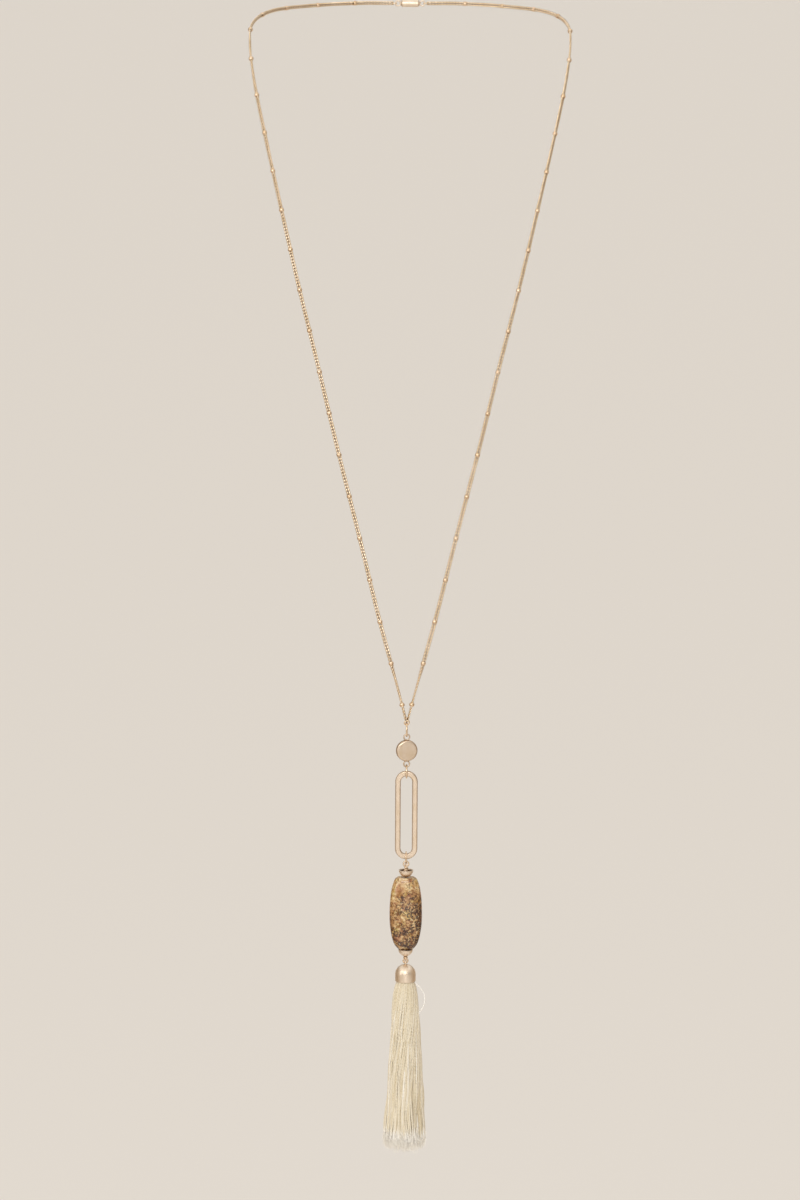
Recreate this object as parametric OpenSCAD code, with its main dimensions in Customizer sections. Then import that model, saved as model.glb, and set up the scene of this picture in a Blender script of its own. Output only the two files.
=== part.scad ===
// Long tassel necklace: a fine curb chain with small balls, on which a disc, an oval link, a stone
// bead between two cups and a thread tassel hang one below the other. Millimetres, +Z up, -Y to the
// front, with the origin at the middle of the neck opening.

/* [Chain] */
// Width of the fine chain
chain_w = 1.3; // [0.8:0.1:1.6]
// Diameter of the small balls on the chain
ball_d = 2.3; // [2.2:0.1:4]
// Distance from one ball to the next along the chain
ball_pitch = 19; // [12:0.5:30]
// Distance from the lowest end of the chain to its first ball
first_ball = 7.2; // [4:0.2:12]
// Outer diameter of the ring that ends each chain
end_ring_d = 2.6; // [2.4:0.1:3.2]
// Wire thickness of the end rings
end_ring_wire = 0.5; // [0.3:0.05:0.6]

/* [Clasp] */
// Diameter of the plain barrel clasp
clasp_d = 3.4; // [2.5:0.1:5]
// Length of the clasp's barrel
clasp_len = 9; // [6:0.5:14]
// Outer diameter of the clasp's two eyes
clasp_eye_d = 3; // [2.8:0.1:4]
// Wire thickness of the clasp's eyes
clasp_eye_wire = 0.6; // [0.4:0.05:0.8]

/* [Jump rings] */
// Outer diameter of the top ring, in which both chains end
top_ring_d = 6.6; // [6:0.1:9]
// Outer diameter of the middle ring, between the disc and the oval link
middle_ring_d = 6.5; // [5.6:0.1:8]
// Outer diameter of the lower ring, between the oval link and the eye pin
lower_ring_d = 5.8; // [5.6:0.1:8]
// Wire thickness of the jump rings
ring_wire = 0.8; // [0.6:0.05:1]

/* [Disc] */
// Diameter of the disc
disc_d = 9.5; // [7:0.1:16]
// Thickness of the disc
disc_t = 2.8; // [2.4:0.1:4]
// Rounding of the disc's rim
disc_round = 0.9; // [0.3:0.05:1]
// How far the disc is turned about the vertical
disc_turn = 12; // [0:1:20]
// Outer diameter of the disc's two loops
loop_d = 3.2; // [2.9:0.1:4]
// Wire thickness of the disc's loops
loop_wire = 0.6; // [0.4:0.05:0.7]

/* [Oval link] */
// Height of the oval link
link_h = 40; // [20:1:60]
// Width of the oval link
link_w = 9.9; // [9:0.1:14]
// Width of the link's flat bar
link_bar = 2.4; // [1.6:0.1:2.6]
// Thickness of the link's flat bar
link_t = 1.8; // [1.4:0.1:2.2]
// Rounding of the bar's edges
link_round = 0.6; // [0.2:0.05:0.65]

/* [Eye pin and cups] */
// Wire thickness of the eye pin
pin_wire = 0.7; // [0.5:0.05:0.8]
// Outer diameter of the pin's upper eye
top_eye_d = 3; // [3:0.1:4]
// Outer diameter of the pin's lower eye
low_eye_d = 2.7; // [2.7:0.1:3.6]
// Bare stem between the upper eye and the rim of the upper cup
top_stem = 1.2; // [0.5:0.1:4]
// Turns of wire wrapped round the stem inside the upper cup
top_wraps = 4; // [2:1:5]
// Turns of wire wrapped round the stem below the lower cup
low_wraps = 1; // [1:1:4]
// Diameter of the two cups, which are half balls
cup_d = 6.5; // [5.5:0.1:8]
// Wall thickness of the cups
cup_wall = 0.4; // [0.3:0.05:0.6]

/* [Stone bead] */
// Width of the stone
stone_w = 14.4; // [12:0.2:20]
// Thickness of the stone, front to back
stone_t = 10; // [9:0.2:14]
// Height of the stone
stone_h = 32.8; // [20:0.2:50]
// Roundness of its outline seen from above: 2 is an ellipse, more is squarer
stone_square = 2.6; // [2:0.1:4]

/* [Tassel] */
// Diameter of the bell cap
cap_d = 9.2; // [8.4:0.2:14]
// Height of the bell cap
cap_h = 7.7; // [7.2:0.1:12]
// Wall thickness of the bell cap
cap_wall = 0.5; // [0.4:0.05:0.8]
// Length of the threads below the cap
tassel_len = 77; // [40:1:120]
// Width of the tassel at its tips
tassel_w = 18.5; // [12:0.5:26]
// Depth of the tassel at its tips, front to back
tassel_t = 14; // [10:0.5:22]
// How much the shortest lock falls short of the longest
ragged = 7; // [2:0.5:15]
// Number of locks round the tassel
locks = 16; // [12:1:22]

/* [Clearances] */
// Gap where one link or loop hangs in another
hang_gap = 0.1; // [0.05:0.01:0.15]
// Gap round the chain inside a ball
ball_gap = 0.15; // [0.1:0.01:0.25]
// Gap between pieces strung on the pin
seat_gap = 0.1; // [0.05:0.01:0.3]
// Gap between the pin and the bores that it passes
bore_gap = 0.15; // [0.1:0.01:0.3]
// Gap between the tassel's head and its cap
head_gap = 0.15; // [0.1:0.01:0.3]

/* [Hidden] */
$fn = 48;

// Middle of the top ring's upper wire, where both chains hold it
HANG = [0, -96, -300.6];
// Middle of the clasp, at the nape
NAPE = [0, 61.5, 11];
// Route of the right-hand chain between its end rings, from the pendant up round the neck
ROUTE = [[4.4, -94.5, -284], [12.4, -90.5, -255], [21.2, -84.5, -220], [31, -77, -182],
         [40.2, -67.5, -145], [49.2, -56.5, -110], [57.3, -43, -77], [64.8, -28, -46],
         [70, -15, -23], [72.5, -3, -6], [71.5, 12, 3], [63, 31, 8], [45, 49, 10], [24, 59, 11]];
// Steps of the smooth curve between two route points
ROUTE_STEPS = 16;
// Distance along a chain from which it bends round the neck and its tube has twice the rings
BEND_FROM = 285;
// Sides of the chain's tube
TUBE_SIDES = 8;

// Outline of the stone: share of its height from the top, share of its width
STONE_FORM = [[0, 0.56], [0.035, 0.7], [0.14, 0.86], [0.28, 0.96], [0.43, 1], [0.6, 1],
              [0.72, 0.95], [0.82, 0.87], [0.91, 0.75], [0.96, 0.62], [1, 0.45]];
STONE_RINGS = 22;
STONE_SIDES = 28;

// Form of the tassel: share of its length, share of its spread, share of a lock's full thickness
TASSEL_FORM = [[0, 0, 0.5], [0.03, 0.1, 0.52], [0.1, 0.24, 0.62], [0.4, 0.45, 0.8],
               [0.7, 0.73, 1], [0.9, 0.96, 0.9], [1, 1, 0.45]];
// Share of the golden turn by which the locks' lengths and waves differ
GOLDEN = 137.5;

gold = "#E2C09A";
pale_gold = "#EBD3B4";
stone_brown = "#9A7646";
thread_ivory = "#F0E9D2";

end_ring_r = (end_ring_d - end_ring_wire) / 2;
clasp_eye_r = (clasp_eye_d - clasp_eye_wire) / 2;
top_ring_r = (top_ring_d - ring_wire) / 2;
middle_ring_r = (middle_ring_d - ring_wire) / 2;
lower_ring_r = (lower_ring_d - ring_wire) / 2;
loop_r = (loop_d - loop_wire) / 2;
top_eye_r = (top_eye_d - pin_wire) / 2;
low_eye_r = (low_eye_d - pin_wire) / 2;

// Distance between the middles of two wires that hang in each other
function hang(a, b) = (a + b) / 2 + hang_gap;
// How far a ring of radius r falls away from its top at a distance y to the side
function fall(r, y) = r - sqrt(r * r - y * y);
// Distance from the middle of a ring of radius r to the edge of the link's bar that lies in it
function bar_seat(r) = sqrt(pow(r - ring_wire / 2, 2) - pow(link_t / 2, 2)) - hang_gap;

// Distance of each chain's end ring from the middle of the top ring's wire, to the front or back
end_spread = chain_w / 2;
end_fall = fall(top_ring_r, end_spread);

// Heights of the pieces that hang below the chain, from the top down
top_ring_z = HANG.z - top_ring_r;
upper_loop_z = top_ring_z - top_ring_r + hang(ring_wire, loop_wire) - loop_r;
disc_z = upper_loop_z - loop_r - disc_d / 2;
lower_loop_z = disc_z - disc_d / 2 - loop_r;
middle_ring_z = lower_loop_z - loop_r + hang(ring_wire, loop_wire) - middle_ring_r;
link_z = middle_ring_z - bar_seat(middle_ring_r) + link_bar - link_h / 2;
lower_ring_z = link_z - link_h / 2 + link_bar - bar_seat(lower_ring_r);
top_eye_z = lower_ring_z - lower_ring_r + hang(ring_wire, pin_wire) - top_eye_r;
top_rim_z = top_eye_z - top_eye_r - pin_wire / 2 - top_stem;
stone_top_z = top_rim_z - cup_d / 2 - seat_gap;
low_rim_z = stone_top_z - stone_h - seat_gap;
low_wrap_z = low_rim_z - cup_d / 2 - seat_gap;
wrap_pitch = pin_wire * 0.9;
wrap_r = pin_wire * 0.9;
// Depth below the upper cup's rim at which the lowest turn clears the cup's round inside
top_wrap_depth = sqrt(pow((cup_d - pin_wire) / 2 - cup_wall - seat_gap, 2) - wrap_r * wrap_r) + wrap_pitch / 2;
low_eye_z = low_wrap_z - low_wraps * wrap_pitch - pin_wire / 2 - low_eye_r;
low_eye_wire_z = low_eye_z - low_eye_r;
cap_top_z = low_eye_wire_z - pin_wire / 2 - 2 * hang_gap;
// The loop soldered into the cap reaches from the eye that holds it to the middle of the cap's wall
bail_top_z = low_eye_wire_z + hang(pin_wire, pin_wire);
bail_r = (bail_top_z - cap_top_z + cap_wall / 2) / 2;
cap_rim_z = cap_top_z - cap_h;
head_d = cap_d - 2 * cap_wall - 2 * head_gap;

// A wire ring standing in the XZ plane, round the Y axis
module ring(r, wire) rotate([90, 0, 0]) rotate_extrude() translate([r, 0]) circle(d = wire);
// The same ring turned edge-on to the front
module ring_edge_on(r, wire) rotate([0, 0, 90]) ring(r, wire);

// The chain's route

function unit(v) = v / norm(v);
function spline(a, b, c, d, t) =
    (2 * b + (c - a) * t + (2 * a - 5 * b + 4 * c - d) * t * t + (3 * b - a - 3 * c + d) * t * t * t) / 2;
function through(p, steps) =
    let (last = len(p) - 1, q = concat([2 * p[0] - p[1]], p, [2 * p[last] - p[last - 1]]))
    concat([for (i = [1 : len(q) - 3], k = [0 : steps - 1])
        spline(q[i - 1], q[i], q[i + 1], q[i + 2], k / steps)], [p[last]]);
function run(p) = [for (i = 0, s = 0; i < len(p); s = s + (i + 1 < len(p) ? norm(p[i + 1] - p[i]) : 0), i = i + 1) s];
function by_axis(s, p) = [for (axis = [0 : 2]) [for (i = [0 : len(p) - 1]) [s[i], p[i][axis]]]];
function place(s, tables) = [for (axis = [0 : 2]) lookup(s, tables[axis])];

// Unit direction in which a chain's lowest end ring is pulled: side is -1 left, 1 right
function pull(side) = unit([side * ROUTE[0].x, 0, ROUTE[0].z - HANG.z]);
function ring_place(side) =
    HANG + [0, side * end_spread, -end_fall] + pull(side) * (end_ring_r - hang(ring_wire, end_ring_wire));
function clasp_ring_x() = clasp_len / 2 + 2 * clasp_eye_r - hang(clasp_eye_wire, end_ring_wire) + end_ring_r;
function nape_ring_place(side) = NAPE + [side * clasp_ring_x(), 0, 0];
function route(side) = concat([ring_place(side) + pull(side) * end_ring_r],
    [for (p = ROUTE) [side * p.x, p.y, p.z]],
    [nape_ring_place(side) + [side * end_ring_r, 0, 0]]);
function curve(side) = through(route(side), ROUTE_STEPS);

// Distances along the chain: of its balls, and of the rings of its tube, which stay clear of the balls
function ball_count(total) = floor((total - first_ball - ball_pitch / 2) / ball_pitch) + 1;
function balls(total) = [for (i = [0 : ball_count(total) - 1]) first_ball + i * ball_pitch];
function stations(total) = concat([0], [for (s = balls(total))
    each s < BEND_FROM ? [s + ball_pitch / 2] : [s - ball_pitch / 4, s + ball_pitch / 4]], [total]);
function stations_path(side) =
    let (p = curve(side), s = run(p), tables = by_axis(s, p))
    [for (t = stations(s[len(s) - 1])) [t, place(t, tables)]];

// A tube of flat sides through the points, its ends square to the first and last direction, which
// carries its sides along without twist from the across direction at its start
module tube(points, start, end, across) {
    last = len(points) - 1;
    function along(i) = i == 0 ? start : i >= last ? end : unit(points[i + 1] - points[i - 1]);
    function square_to(v, t) = unit(v - (v * t) * t);
    sides = [for (i = 0, v = square_to(across, start); i <= last; i = i + 1, v = square_to(v, along(i))) v];
    vertices = [for (i = [0 : last], k = [0 : TUBE_SIDES - 1])
        let (a = (k + 0.5) * 360 / TUBE_SIDES, u = sides[i], v = cross(along(i), u))
        points[i] + (u * cos(a) + v * sin(a)) * chain_w / 2];
    walls = [for (i = [0 : last - 1], k = [0 : TUBE_SIDES - 1]) let (n = (k + 1) % TUBE_SIDES)
        [i * TUBE_SIDES + k, (i + 1) * TUBE_SIDES + k, (i + 1) * TUBE_SIDES + n, i * TUBE_SIDES + n]];
    first_cap = [[for (k = [0 : TUBE_SIDES - 1]) k]];
    last_cap = [[for (k = [TUBE_SIDES - 1 : -1 : 0]) last * TUBE_SIDES + k]];
    polyhedron(vertices, concat(first_cap, walls, last_cap), convexity = 6);
}

module chain(side) color(gold) {
    path = stations_path(side);
    tube([for (p = path) p[1]], pull(side), [-side, 0, 0], [0, -1, 0]);
    translate(ring_place(side)) ring(end_ring_r, end_ring_wire);
    translate(nape_ring_place(side)) rotate([90, 0, 0]) ring(end_ring_r, end_ring_wire);
}

// Turns the Z axis to point along v
module point_along(v) rotate([0, acos(v.z), atan2(v.y, v.x)]) children();

module chain_beads(side) color(gold) {
    path = stations_path(side);
    tables = by_axis([for (p = path) p[0]], [for (p = path) p[1]]);
    for (s = balls(path[len(path) - 1][0]))
        let (middle = place(s, tables), step = ball_pitch / 8)
        translate(middle) point_along(unit(place(s + step, tables) - place(s - step, tables)))
            difference() {
                sphere(d = ball_d);
                cylinder(d = chain_w + 2 * ball_gap, h = ball_d, center = true);
            }
}

module chain_left() chain(-1);
module chain_right() chain(1);
module chain_beads_left() chain_beads(-1);
module chain_beads_right() chain_beads(1);

module clasp() color(gold) translate(NAPE) {
    shoulder = clasp_d / 4;
    rotate([0, 90, 0]) {
        cylinder(d = clasp_d, h = clasp_len - 2 * shoulder, center = true);
        for (end = [0, 180]) rotate([end, 0, 0]) translate([0, 0, clasp_len / 2 - shoulder])
            cylinder(d1 = clasp_d, d2 = clasp_d / 2, h = shoulder);
    }
    for (side = [-1, 1]) translate([side * (clasp_len / 2 + clasp_eye_r), 0, 0])
        ring(clasp_eye_r, clasp_eye_wire);
}

module top_ring() color(gold) translate([HANG.x, HANG.y, top_ring_z]) ring_edge_on(top_ring_r, ring_wire);
module middle_ring() color(gold) translate([HANG.x, HANG.y, middle_ring_z]) ring_edge_on(middle_ring_r, ring_wire);
module lower_ring() color(gold) translate([HANG.x, HANG.y, lower_ring_z]) ring_edge_on(lower_ring_r, ring_wire);

module disc() color(pale_gold) translate([HANG.x, HANG.y, 0]) rotate([0, 0, disc_turn]) {
    translate([0, 0, disc_z]) rotate([90, 0, 0]) rotate_extrude() {
        translate([0, -disc_t / 2]) square([disc_d / 2 - disc_round, disc_t]);
        translate([0, disc_round - disc_t / 2]) square([disc_d / 2, disc_t - 2 * disc_round]);
        for (face = [-1, 1]) translate([disc_d / 2 - disc_round, face * (disc_t / 2 - disc_round)])
            circle(r = disc_round);
    }
    for (z = [upper_loop_z, lower_loop_z]) translate([0, 0, z]) ring(loop_r, loop_wire);
}

// Section of the link's bar, across x its width and y its thickness
module bar_section() {
    square([link_bar - 2 * link_round, link_t], center = true);
    square([link_bar, link_t - 2 * link_round], center = true);
    for (x = [-1, 1], y = [-1, 1])
        translate([x * (link_bar / 2 - link_round), y * (link_t / 2 - link_round)]) circle(r = link_round);
}

module oval_link() color(pale_gold) translate([HANG.x, HANG.y, link_z]) rotate([90, 0, 0]) {
    bend_r = (link_w - link_bar) / 2;
    leg = link_h - link_w;
    for (end = [0, 180]) rotate([0, 0, end]) translate([0, leg / 2, 0])
        rotate_extrude(angle = 180) translate([bend_r, 0]) bar_section();
    for (side = [-1, 1]) translate([side * bend_r, leg / 2, 0]) rotate([90, 0, 0])
        linear_extrude(height = leg) bar_section();
}

// Turns of wire wrapped round the pin's stem, from z upwards
module wraps(z, turns) for (i = [0 : turns - 1]) translate([0, 0, z + (i + 0.5) * wrap_pitch])
    rotate_extrude() translate([wrap_r, 0]) circle(d = pin_wire);

module eye_pin() color(gold) translate([HANG.x, HANG.y, 0]) {
    translate([0, 0, top_eye_z]) ring(top_eye_r, pin_wire);
    translate([0, 0, low_eye_z]) ring(low_eye_r, pin_wire);
    translate([0, 0, low_eye_z + low_eye_r])
        cylinder(d = pin_wire, h = top_eye_z - top_eye_r - low_eye_z - low_eye_r);
    wraps(top_rim_z - top_wrap_depth, top_wraps);
    wraps(low_wrap_z - low_wraps * wrap_pitch, low_wraps);
}

// A half-ball cup with its open side up, its rim at the origin
module cup() difference() {
    sphere(d = cup_d);
    sphere(d = cup_d - 2 * cup_wall);
    translate([-cup_d, -cup_d, 0]) cube(2 * cup_d);
    translate([0, 0, -cup_d]) cylinder(d = pin_wire + 2 * bore_gap, h = cup_d);
}

module top_cup() color(pale_gold) translate([HANG.x, HANG.y, top_rim_z]) cup();
module bottom_cup() color(pale_gold) translate([HANG.x, HANG.y, low_rim_z]) cup();

// The stone's solid from its top at the origin downwards, before it is drilled
module barrel() {
    form = through(STONE_FORM, 2);
    last = STONE_RINGS - 1;
    function squared(c) = sign(c) * pow(abs(c), 2 / stone_square);
    vertices = [for (i = [0 : last], k = [0 : STONE_SIDES - 1])
        let (a = k * 360 / STONE_SIDES, share = lookup(i / last, form))
        [squared(cos(a)) * share * stone_w / 2, squared(sin(a)) * share * stone_t / 2, -stone_h * i / last]];
    walls = [for (i = [0 : last - 1], k = [0 : STONE_SIDES - 1]) let (n = (k + 1) % STONE_SIDES)
        [i * STONE_SIDES + k, i * STONE_SIDES + n, (i + 1) * STONE_SIDES + n, (i + 1) * STONE_SIDES + k]];
    top = [[for (k = [STONE_SIDES - 1 : -1 : 0]) k]];
    bottom = [[for (k = [0 : STONE_SIDES - 1]) last * STONE_SIDES + k]];
    polyhedron(vertices, concat(top, walls, bottom), convexity = 2);
}

module stone_bead() color(stone_brown) translate([HANG.x, HANG.y, stone_top_z]) difference() {
    barrel();
    translate([0, 0, -stone_h - 1]) cylinder(d = pin_wire + 2 * bore_gap, h = stone_h + 2);
}

// A bell of a half ball on a straight skirt, from its top at the origin down
module bell(d, h) difference() {
    union() {
        translate([0, 0, -d / 2]) sphere(d = d);
        translate([0, 0, -h]) cylinder(d = d, h = h - d / 2);
    }
    translate([-d, -d, -h - d]) cube([2 * d, 2 * d, d]);
}

module tassel_cap() color(pale_gold) translate([HANG.x, HANG.y, 0]) {
    translate([0, 0, cap_top_z]) difference() {
        bell(cap_d, cap_h);
        translate([0, 0, -cap_wall]) bell(cap_d - 2 * cap_wall, cap_h);
    }
    translate([0, 0, bail_top_z - bail_r]) ring_edge_on(bail_r, pin_wire);
}

// One lock's middle and thickness at a share t of its length, for the lock's number i
function spread(t) = lookup(t, [for (row = TASSEL_FORM) [row[0], row[1]]]);
function lock_len(i) = tassel_len - ragged * (0.5 + 0.5 * sin(i * GOLDEN));
function lock_d(i, t) = lookup(t, [for (row = TASSEL_FORM) [row[0], row[2]]]) * tassel_w * PI / locks * 1.3;
function lock_place(i, t) = let (a = i * 360 / locks + 5 * t * sin(i * GOLDEN * 2), d = lock_d(i, t))
    [cos(a) * (head_d + (tassel_w - head_d) * spread(t) - d) / 2,
     sin(a) * (head_d + (tassel_t - head_d) * spread(t) - d) / 2, -t * lock_len(i)];

module lock_slice(i, t) translate(lock_place(i, t)) cylinder(d = lock_d(i, t), h = 0.1, $fn = 10);

module tassel() color(thread_ivory) translate([HANG.x, HANG.y, cap_rim_z]) {
    head_h = cap_h - cap_wall - cap_d / 4;
    intersection() {
        translate([0, 0, cap_h - cap_wall - head_gap]) bell(head_d, cap_h + 1);
        translate([0, 0, -1]) cylinder(d = head_d, h = head_h + 1);
    }
    steps = [for (row = TASSEL_FORM) row[0]];
    for (i = [0 : locks - 1], k = [0 : len(steps) - 2]) hull() {
        lock_slice(i, steps[k]);
        lock_slice(i, steps[k + 1]);
    }
    hull() {
        cylinder(d = head_d - 1, h = 1);
        translate([0, 0, ragged - tassel_len]) scale([1, tassel_t / tassel_w, 1])
            cylinder(d = tassel_w * 0.75, h = 1);
    }
}

chain_left();
chain_right();
chain_beads_left();
chain_beads_right();
clasp();
top_ring();
disc();
middle_ring();
oval_link();
lower_ring();
eye_pin();
top_cup();
stone_bead();
bottom_cup();
tassel_cap();
tassel();
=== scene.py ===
"""Looks of the long tassel necklace: curb chain with small balls, disc, oval link, stone bead and tassel.

Everything is in metres in the part's own frame: +Z up, -Y to the front, origin at the middle of the
loop's opening at its top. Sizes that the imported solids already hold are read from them; the others
repeat the named values of the part's source.
"""

from math import cos, pi, radians, sin, tau

import bpy
import numpy as np
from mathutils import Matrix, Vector


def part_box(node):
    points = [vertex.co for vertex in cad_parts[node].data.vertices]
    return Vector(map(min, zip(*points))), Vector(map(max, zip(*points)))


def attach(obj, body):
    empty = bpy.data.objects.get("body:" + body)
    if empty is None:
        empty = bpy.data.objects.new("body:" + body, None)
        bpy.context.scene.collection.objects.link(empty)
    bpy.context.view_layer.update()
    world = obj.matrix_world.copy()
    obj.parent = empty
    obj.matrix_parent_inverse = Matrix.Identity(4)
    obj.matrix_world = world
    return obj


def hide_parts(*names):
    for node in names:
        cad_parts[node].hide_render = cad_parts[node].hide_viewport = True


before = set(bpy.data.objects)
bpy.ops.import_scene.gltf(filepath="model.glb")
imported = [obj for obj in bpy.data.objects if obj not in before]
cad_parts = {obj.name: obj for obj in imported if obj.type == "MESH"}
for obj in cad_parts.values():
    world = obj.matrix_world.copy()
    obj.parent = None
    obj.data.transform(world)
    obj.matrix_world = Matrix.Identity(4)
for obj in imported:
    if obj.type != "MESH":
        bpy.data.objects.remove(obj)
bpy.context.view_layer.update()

MM = 0.001

# -------- named sizes, as in the part's source

HANG_GAP = 0.1 * MM
CHAIN_W = 1.3 * MM
BALL_GAP = 0.15 * MM
RING_WIRE = 0.8 * MM
END_RING_D = 2.6 * MM
END_RING_WIRE = 0.5 * MM
CLASP_EYE_WIRE = 0.6 * MM
BALL_D = 2.3 * MM
BALL_PITCH = 19 * MM
FIRST_BALL = 7.2 * MM
PIN_WIRE = 0.7 * MM
TOP_EYE_D = 3 * MM
LOW_EYE_D = 2.7 * MM
CUP_WALL = 0.4 * MM
CAP_WALL = 0.5 * MM
TASSEL_W = 18.5 * MM
TASSEL_T = 14 * MM
HEAD_D = 7.9 * MM
RAGGED = 7 * MM
END_RING_R = (END_RING_D - END_RING_WIRE) / 2
# Radius of the hole for the pin in the stone and the cups
BORE_R = 0.5 * MM

# Route of the right-hand half of the loop from the pendant up to the clasp, mirrored for the left
ROUTE = [
    (0.0044, -0.0945, -0.284), (0.0124, -0.0905, -0.255), (0.0212, -0.0845, -0.220),
    (0.031, -0.077, -0.182), (0.0402, -0.0675, -0.145), (0.0492, -0.0565, -0.110),
    (0.0573, -0.043, -0.077), (0.0648, -0.028, -0.046), (0.070, -0.015, -0.023),
    (0.0725, -0.003, -0.006), (0.0715, 0.012, 0.003), (0.063, 0.031, 0.008),
    (0.045, 0.049, 0.010), (0.024, 0.059, 0.011),
]
ROUTE_STEPS = 16

# Wire, width and thickness of the curb links, rolled flat, and their pitch: 27 links to two balls
LINK_WIRE = 0.62 * MM
LINK_W = 1.9 * MM
LINK_THICK = 1.0 * MM
LINK_PITCH = BALL_PITCH * 2 / 27
LINK_SLACK = 0.02 * MM
LINK_TWIST = radians(46)
# How much wider than the round wire a link grows where the rollers flatten it
LINK_FLATTENED = 1.5
# The last stretch above the pendant hangs on its edge
EDGE_ROLL = radians(80)
ON_EDGE, FLAT_FROM = 20 * MM, 33 * MM

# Outline of the stone: share of its height from the top, share of its width
STONE_FORM = [
    (0, 0.56), (0.035, 0.7), (0.14, 0.86), (0.28, 0.96), (0.43, 1), (0.6, 1),
    (0.72, 0.95), (0.82, 0.87), (0.91, 0.75), (0.96, 0.62), (1, 0.45),
]
# Power of the rounded square that it is in section; 2 would be an ellipse
STONE_SQUARE = 2.6

# Form of the tassel: share of its length, share of its spread
TASSEL_FORM = [
    (0, 0), (0.03, 0.17), (0.1, 0.33), (0.3, 0.5), (0.58, 0.66), (0.8, 0.82), (0.93, 0.88), (1, 0.82),
]
THREAD_D = 0.6 * MM
THREADS = 520
THREAD_SIDES = 5
# Thicker threads fill the middle, under the ones that show
FILLING_D = 1.3 * MM
FILLINGS = 150
# Thicker than real fibres, so that they show
FIBRE_D = 0.2 * MM
FIBRES_PER_THREAD = 4

# Seed of all that falls by chance in the tassel
SEED = 12
rng = np.random.default_rng(SEED)


# -------- nodes of a material

def linear(hex_colour):
    """Linear RGBA of an sRGB hex colour."""
    shares = [int(hex_colour[i:i + 2], 16) / 255 for i in (1, 3, 5)]
    return [s / 12.92 if s <= 0.04045 else ((s + 0.055) / 1.055) ** 2.4 for s in shares] + [1]


def add_node(tree, kind, inputs=None, stops=None, **settings):
    """Adds a node. Its inputs are values or other nodes' sockets; stops fill a colour ramp."""
    node = tree.nodes.new(kind)
    for name, value in settings.items():
        setattr(node, name, value)
    for key, value in (inputs or {}).items():
        if isinstance(value, bpy.types.NodeSocket):
            tree.links.new(value, node.inputs[key])
        else:
            node.inputs[key].default_value = value
    for i, (place, value) in enumerate(stops or []):
        ramp = node.color_ramp
        stop = ramp.elements[i] if i < len(ramp.elements) else ramp.elements.new(place)
        stop.position = place
        stop.color = linear(value) if isinstance(value, str) else (value, value, value, 1)
    return node


def start_material(name):
    """A new material, its empty node tree and the object coordinates, in metres."""
    material = bpy.data.materials.new(name)
    material.use_nodes = True
    tree = material.node_tree
    tree.nodes.clear()
    place = add_node(tree, "ShaderNodeTexCoord").outputs["Object"]
    return material, tree, place


def finish_material(tree, inputs):
    """Closes a tree with one surface shader of these inputs."""
    shader = add_node(tree, "ShaderNodeBsdfPrincipled", inputs)
    add_node(tree, "ShaderNodeOutputMaterial", {"Surface": shader.outputs["BSDF"]})


# Size of the patches over which the plating's colour drifts
WORN_PATCH = 3.5 * MM


def gold(name, colour, deep_colour, roughness, roughness_spread, grain, grain_depth,
         edge_shade_colour=None, recess_shade_colour=None):
    """Champagne-gold plating on brass.

    grain is the size of its marks along X, Y and Z. Each is long along the stroke of the brush, or
    equal all round on tumbled metal. Its colour drifts a little towards deep_colour, as worn
    plating does. Painted shade turns the rounded edges that face aside from the front and back to the edge
    colour.
    Painted shade: where the mesh's own tone falls to 0, deep between the links or in a cup, the
    colour turns to the recess colour.
    """
    material, tree, place = start_material(name)
    drift = add_node(tree, "ShaderNodeTexNoise", {"Vector": place, "Scale": 1 / WORN_PATCH, "Detail": 3})
    colour = add_node(tree, "ShaderNodeValToRGB", {"Fac": drift.outputs["Fac"]},
                      stops=[(0.35, deep_colour), (0.62, colour)]).outputs["Color"]
    # Painted shade: faces that turn aside from the front and back darken towards the edge colour
    if edge_shade_colour:
        facing = add_node(tree, "ShaderNodeSeparateXYZ", {
            "Vector": add_node(tree, "ShaderNodeNewGeometry").outputs["Normal"]})
        depth = add_node(tree, "ShaderNodeMath", {0: facing.outputs["Y"]}, operation="ABSOLUTE")
        faces_front = add_node(tree, "ShaderNodeMapRange", {
            "Value": depth.outputs["Value"], "From Min": 0.35, "From Max": 0.95},
            interpolation_type="SMOOTHSTEP")
        colour = add_node(tree, "ShaderNodeMix", {
            "Factor": faces_front.outputs["Result"], "A": linear(edge_shade_colour), "B": colour},
            data_type="RGBA").outputs["Result"]
    # Painted shade: darker where the mesh's tone falls to 0, between the links and inside the cups
    if recess_shade_colour:
        openness = add_node(tree, "ShaderNodeAttribute", attribute_name="tone")
        colour = add_node(tree, "ShaderNodeMix", {
            "Factor": openness.outputs["Fac"], "A": linear(recess_shade_colour), "B": colour},
            data_type="RGBA").outputs["Result"]
    stroke = add_node(tree, "ShaderNodeMapping", {"Vector": place, "Scale": [1 / size for size in grain]})
    marks = add_node(tree, "ShaderNodeTexNoise", {
        "Vector": stroke.outputs["Vector"], "Scale": 1, "Detail": 4, "Roughness": 0.6})
    rough = add_node(tree, "ShaderNodeMapRange", {
        "Value": marks.outputs["Fac"], "From Min": 0.3, "From Max": 0.7,
        "To Min": roughness - roughness_spread, "To Max": roughness + roughness_spread})
    relief = add_node(tree, "ShaderNodeBump", {
        "Height": marks.outputs["Fac"], "Strength": 1, "Distance": grain_depth})
    finish_material(tree, {
        "Base Color": colour, "Metallic": 1, "Roughness": rough.outputs["Result"],
        "Normal": relief.outputs["Normal"]})
    return material


# Sizes of the marks along X, Y and Z. Real brush marks are about 0.05 mm wide and tumbled ones as fine,
# so they are drawn this coarse to show
TUMBLED = (0.3 * MM,) * 3
BRUSHED_UPRIGHT = (0.16 * MM, 0.16 * MM, 5 * MM)
SATIN = (0.6 * MM,) * 3
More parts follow.
